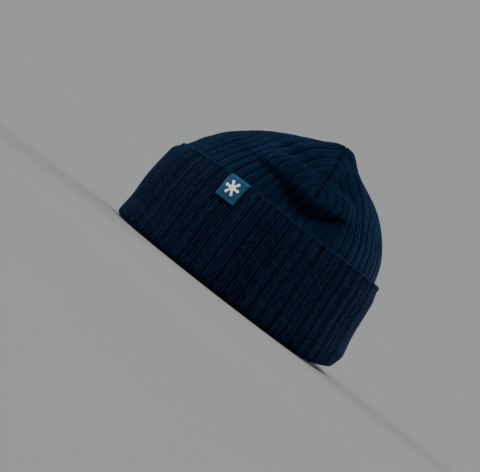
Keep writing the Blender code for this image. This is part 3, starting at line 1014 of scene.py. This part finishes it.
CARE_WIDTH = CARE_HIGH.x - CARE_LOW.x
CARE_LENGTH = CARE_HIGH.z - CARE_LOW.z
CARE_Y = (CARE_LOW.y + CARE_HIGH.y) / 2
CARE_TOP = CARE_HIGH.z
CARE_WALL = 0.0004
CARE_HEM = 0.005  # height of its turned edge
CARE_STITCHES = 11
CARE_THREAD = 0.00024  # radius of their thread
BAND_CURVE = 0.16  # the band behind the label falls away by x squared over this


def make_care_label(mat):
    """A plain satin tape with its top edge turned under, hanging with a slight curl."""
    length = CARE_LENGTH
    share = np.concatenate([[-0.5, -0.49], np.linspace(-0.46, 0.46, 20), [0.49, 0.5]])[None, :]
    inner = np.linspace(0.0015, length - 0.0015, 32)
    drop = np.concatenate([[0, 0.0005], inner, [length - 0.0005, length]])[:, None]
    x = CARE_WIDTH * share
    hang = 0.0011 * np.sin(drop / length * math.pi) - 0.0012 * smooth(drop, length * 0.6, length)
    curl = -0.0009 * (2 * share) ** 2 * smooth(drop, 0.004, 0.03)
    corner = 0.0014 * smooth(np.abs(share), 0.42, 0.5) * smooth(drop, length - 0.006, length)
    points = together(x, CARE_Y - hang - curl, CARE_TOP - drop + corner)
    hem = 1 - smooth(drop, CARE_HEM - 0.0005, CARE_HEM + 0.0001)
    half = open_normals(points) * (CARE_WALL * (1 + 0.7 * hem) / 2)[..., None]
    # Lighter at the side edges, with painted shade in the crease of the turned hem.
    edge = smooth(np.abs(share), 0.45, 0.5) - 0.8 * bell(drop, CARE_HEM, 0.0004)
    weave = together(x, drop, edge)
    mesh = slab("care_label_tape", (points + half)[::-1], (points - half)[::-1], weave[::-1])
    tape = add_piece(mesh, mat, body="care_label_flap")
    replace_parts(tape, "care_label")


def make_care_stitches(mat):
    """Stitches over the care label's top edge, into the band behind it."""
    band = place(NAPE, np.array(band_face(CARE_TOP) - BAND_WALL), CARE_TOP)[1]
    parts = []
    for k in range(CARE_STITCHES):
        x = CARE_WIDTH * 0.92 * (k / (CARE_STITCHES - 1) - 0.5)
        skin = band - x * x / BAND_CURVE
        line = [
            (x, skin + 0.0006, CARE_TOP + 0.0016),
            (x + 0.0002, skin - 0.0008, CARE_TOP + 0.0017),
            (x + 0.0006, CARE_Y - 0.0006, CARE_TOP + 0.0003),
            (x + 0.0009, CARE_Y - 0.0004, CARE_TOP - 0.0021),
        ]
        parts.append(tube("stitch", smooth_line(line, 4), CARE_THREAD))
    stitches = add_joined("care_label_stitches", parts, mat)
    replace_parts(stitches, "care_label_thread")


# --- materials ---

# Each fabric's dark and light colours.
LABEL_TEAL = ((0.0066, 0.043, 0.098, 1), (0.019, 0.104, 0.209, 1))
TEAL_THREAD = ((0.004, 0.03, 0.055, 1), (0.012, 0.07, 0.115, 1))
NAVY_THREAD = ((0.001, 0.006, 0.018, 1), (0.006, 0.028, 0.07, 1))
WHITE_THREAD = ((0.78, 0.79, 0.82, 1), (0.92, 0.93, 0.95, 1))
WHITE_SATIN = ((0.6, 0.6, 0.58, 1), (0.8, 0.8, 0.78, 1))
FLOOR_GREY = ((0.263, 0.268, 0.269, 1), (0.273, 0.278, 0.279, 1))
# What differs between the knit's two sides: colours, how a stitch slants across its wale, how much
# the fibres add to the stitches' height and how strong that relief is, how much the yarn's dashes
# add to its tone, and how much painted shade the stitches' dips, the grooves and the gaps between
# wales add to it.
FACE = {
    "colours": ((0.0018, 0.0046, 0.0135, 1), (0.0086, 0.031, 0.08, 1)),
    "slant": -1.6, "fuzz": 0.5, "relief": 0.9,
    "stitch": 0.4, "dashes": 0.7, "groove": -1.2, "gap": -3.3,
}
REVERSE = {
    "colours": ((0.0024, 0.004, 0.0105, 1), (0.0096, 0.0262, 0.07, 1)),
    "slant": 0.9, "fuzz": 1.0, "relief": 0.25,
    "stitch": 0.07, "dashes": 1.3, "groove": -0.75, "gap": -1.7,
}
FULL_TURN = 2 * math.pi


class Nodes:
    """A material's node tree, with short names for the nodes that the fabrics use."""

    def __init__(self, name):
        self.material = bpy.data.materials.new(name)
        self.material.use_nodes = True
        self.tree = self.material.node_tree
        self.shader = self.tree.nodes["Principled BSDF"]

    def put(self, socket, value):
        if isinstance(value, bpy.types.NodeSocket):
            self.tree.links.new(value, socket)
        else:
            socket.default_value = value

    def shade(self, name, value):
        self.put(self.shader.inputs[name], value)

    def node(self, kind, output, inputs, **settings):
        """One output of a new node, whose inputs are given by name or number."""
        node = self.tree.nodes.new("ShaderNode" + kind)
        for name, value in settings.items():
            setattr(node, name, value)
        for name, value in inputs.items():
            self.put(node.inputs[name], value)
        return node.outputs[output]

    def math(self, operation, *values):
        return self.node("Math", 0, dict(enumerate(values)), operation=operation)

    def add(self, value, times, rest):
        return self.math("MULTIPLY_ADD", value, times, rest)

    def wave(self, value, times=FULL_TURN):
        return self.math("SINE", self.math("MULTIPLY", value, times))

    def attribute(self, name):
        """The three values of an attribute of the mesh."""
        vector = self.node("Attribute", "Vector", {}, attribute_name=name)
        return [self.node("SeparateXYZ", k, {0: vector}) for k in range(3)]

    def noise(self, scale, detail, vector=None):
        vector = vector or self.node("TexCoord", "Object", {})
        return self.node("TexNoise", "Fac", {"Vector": vector, "Scale": scale, "Detail": detail})

    def random(self, value):
        return self.node("TexWhiteNoise", "Value", {"W": value}, noise_dimensions="1D")

    def mix(self, factor, a, b):
        return self.node("Mix", "Result", {"Factor": factor, "A": a, "B": b}, data_type="RGBA")

    def bump(self, height, distance, strength):
        inputs = {"Height": height, "Distance": distance, "Strength": strength}
        self.shade("Normal", self.node("Bump", 0, inputs))


def knit_material(name, side):
    """Fine navy knit: stitches along each wale, heathered yarn and a soft fibre sheen, with painted
    shade in its grooves, in the gaps between wales and in the stitches' dips.
    """
    n = Nodes(name)
    wale, course, groove = n.attribute("knit")
    across = n.math("ABSOLUTE", n.math("SUBTRACT", n.math("FRACT", wale), 0.5))
    row = n.wave(n.add(across, side["slant"], course))
    if side is REVERSE:
        stitch = n.add(row, 0.5, 0.5)
    else:
        stitch = n.math("MULTIPLY", n.add(row, 0.35, 0.65), n.wave(across))
    fibres = n.noise(2600, 3.0)
    n.bump(n.add(fibres, side["fuzz"], stitch), 0.0006, side["relief"])
    # Heathered yarn, with painted shade in the stitches' dips.
    tone = n.add(n.noise(90, 4.0), 0.4, n.math("MULTIPLY", stitch, side["stitch"]))
    tone = n.add(n.math("SUBTRACT", n.noise(750, 2.0), 0.5), 1.1, tone)
    along = {0: n.math("MULTIPLY", wale, 1.7), 1: n.math("MULTIPLY", course, 0.3)}
    along = n.node("CombineXYZ", 0, along)
    tone = n.add(n.math("SUBTRACT", n.noise(1.0, 2.0, along), 0.5), side["dashes"], tone)
    tone = n.add(n.random(n.math("FLOOR", wale)), 0.3, tone)
    # Painted shade in the grooves, darker along the dart seams, and in the gaps between wales; a
    # painted highlight along the cuff's edge.
    tone = n.add(groove, side["groove"], tone)
    gap = n.math("MAXIMUM", n.math("SUBTRACT", across, 0.25), 0.0)
    tone = n.add(gap, side["gap"], tone)
    n.shade("Base Color", n.mix(tone, *side["colours"]))
    n.shade("Roughness", n.add(fibres, 0.15, 0.8))
    n.shade("Specular IOR Level", 0.1)
    n.shade("Specular Tint", (0.1, 0.42, 1.00, 1))
    n.shade("Sheen Weight", 0.06)
    n.shade("Sheen Roughness", 0.4)
    n.shade("Sheen Tint", (0.08, 0.38, 0.95, 1))
    return n.material


def thread_material(name, colours, roughness=0.6, sheen=0.1):
    """Twisted sewing thread."""
    n = Nodes(name)
    twist = n.noise(1800, 2.0)
    n.bump(twist, 0.0002, 0.6)
    n.shade("Base Color", n.mix(twist, *colours))
    n.shade("Roughness", n.add(twist, 0.2, roughness))
    n.shade("Specular IOR Level", 0.3)
    n.shade("Sheen Weight", sheen)
    return n.material


def woven_material(name, colours, across, along, roughness, sheen):
    """A tape woven from fine threads that go over and under. across and along are their pitches.

    The weave attribute gives each point's place on the tape in metres, and how much lighter it is
    painted: lighter at the tape's edges, with painted highlights at folds and painted shade in
    hem lines and pressed lines.
    """
    n = Nodes(name)
    u, v, light = n.attribute("weave")
    cell = n.math("MULTIPLY", n.wave(u, FULL_TURN / across), n.wave(v, FULL_TURN / along))
    thread = n.add(cell, 0.5, 0.5)
    n.bump(n.add(n.noise(1500, 2.0), 0.35, thread), 0.00018, 0.7)
    tone = n.add(n.noise(260, 3.0), 0.45, n.math("MULTIPLY", thread, 0.45))
    # light brings in the painted highlights and painted shade of the weave attribute.
    n.shade("Base Color", n.mix(n.add(light, 0.45, tone), *colours))
    n.shade("Roughness", n.add(thread, -0.12, roughness))
    n.shade("Specular IOR Level", 0.12)
    n.shade("Sheen Weight", sheen)
    return n.material


# --- stage ---

VIEW_AZIMUTH = math.radians(84)
VIEW_ROLL = math.atan2(0.613, 0.79)  # the hat is tilted in the photo, as the head looks down
VIEW_DISTANCE = 1.5
VIEW_TARGET = Vector((-0.0018, -0.0171, 0.045))
VIEW_HEIGHT = 0.055
LENS = 143


def make_camera():
    a = VIEW_AZIMUTH
    back = Vector((math.sin(a), -math.cos(a), 0))
    right = Vector((math.cos(a), math.sin(a), 0))
    place_at = VIEW_TARGET + back * VIEW_DISTANCE
    place_at.z = VIEW_HEIGHT
    back = (place_at - VIEW_TARGET).normalized()
    level = back.cross(right).normalized()
    up = level * math.cos(VIEW_ROLL) - right * math.sin(VIEW_ROLL)
    side = up.cross(back).normalized()
    turn = Matrix((side, up, back)).transposed()
    data = bpy.data.cameras.new("camera")
    data.lens = LENS
    data.clip_start = 0.01
    camera = bpy.data.objects.new("camera", data)
    camera.matrix_world = Matrix.Translation(place_at) @ turn.to_4x4()
    bpy.context.scene.collection.objects.link(camera)
    bpy.context.scene.camera = camera


FLOOR_RINGS = (0.25, 0.6, 1.5, 5.0, 40.0)
BACKGROUND = (0.34, 0.347, 0.35, 1)


def make_floor():
    """A plain pale floor that runs out to the horizon, where it meets the studio's even grey."""
    angle = np.linspace(0, 2 * math.pi, 97)[:-1]
    radius = np.array(FLOOR_RINGS)[:, None]
    points = together(radius * np.cos(angle), radius * np.sin(angle), 0)
    mesh = grid_mesh("floor", points, poles=((0, (0, 0, 0)),))
    n = Nodes("floor_paint")
    n.shade("Base Color", n.mix(n.noise(3, 2.0), *FLOOR_GREY))
    n.shade("Roughness", 0.95)
    n.shade("Specular IOR Level", 0.0)
    mesh.materials.append(n.material)
    floor = bpy.data.objects.new("floor", mesh)
    bpy.context.scene.collection.objects.link(floor)


def soft_sun(name, towards, strength, spread):
    """A broad even light that comes from a direction."""
    data = bpy.data.lights.new(name, "SUN")
    data.energy = strength
    data.angle = math.radians(spread)
    lamp = bpy.data.objects.new(name, data)
    lamp.rotation_mode = "QUATERNION"
    lamp.rotation_quaternion = Vector(towards).to_track_quat("Z", "Y")
    bpy.context.scene.collection.objects.link(lamp)


def make_lights():
    soft_sun("front_light", (-0.28, -1.0, 0.06), 3.8, 40)
    soft_sun("back_light", (-0.5, 1.0, 0.06), 4.4, 40)
    soft_sun("top_light", (0.36, 0.0, 1.0), 2.2, 30)
    world = bpy.data.worlds.new("studio")
    world.use_nodes = True
    world.node_tree.nodes["Background"].inputs["Color"].default_value = BACKGROUND
    bpy.context.scene.world = world


# --- assembly ---

make_camera()
make_floor()
make_lights()

inner_tip, seams = make_crown(knit_material("navy_knit_face", FACE))
make_cuff(knit_material("navy_knit_reverse", REVERSE))
fin_knit = knit_material("navy_knit_edge", REVERSE)
navy_thread = thread_material("navy_overlock_thread", NAVY_THREAD)
for side, (line, inward) in seams.items():
    make_fin(side, line, inward, fin_knit, navy_thread)
make_tip_tack(inner_tip, seams, navy_thread)

teal_weave = woven_material("teal_label_weave", LABEL_TEAL, 0.0005, 0.00036, 0.62, 0.01)
label, label_length = make_label(teal_weave)
motif = make_motif(thread_material("white_motif_thread", WHITE_THREAD, 0.55, 0.05))
make_label_stitches(thread_material("teal_label_thread", TEAL_THREAD))

make_care_label(woven_material("white_care_satin", WHITE_SATIN, 0.0003, 0.0012, 0.42, 0.1))
make_care_stitches(thread_material("care_label_thread", NAVY_THREAD))
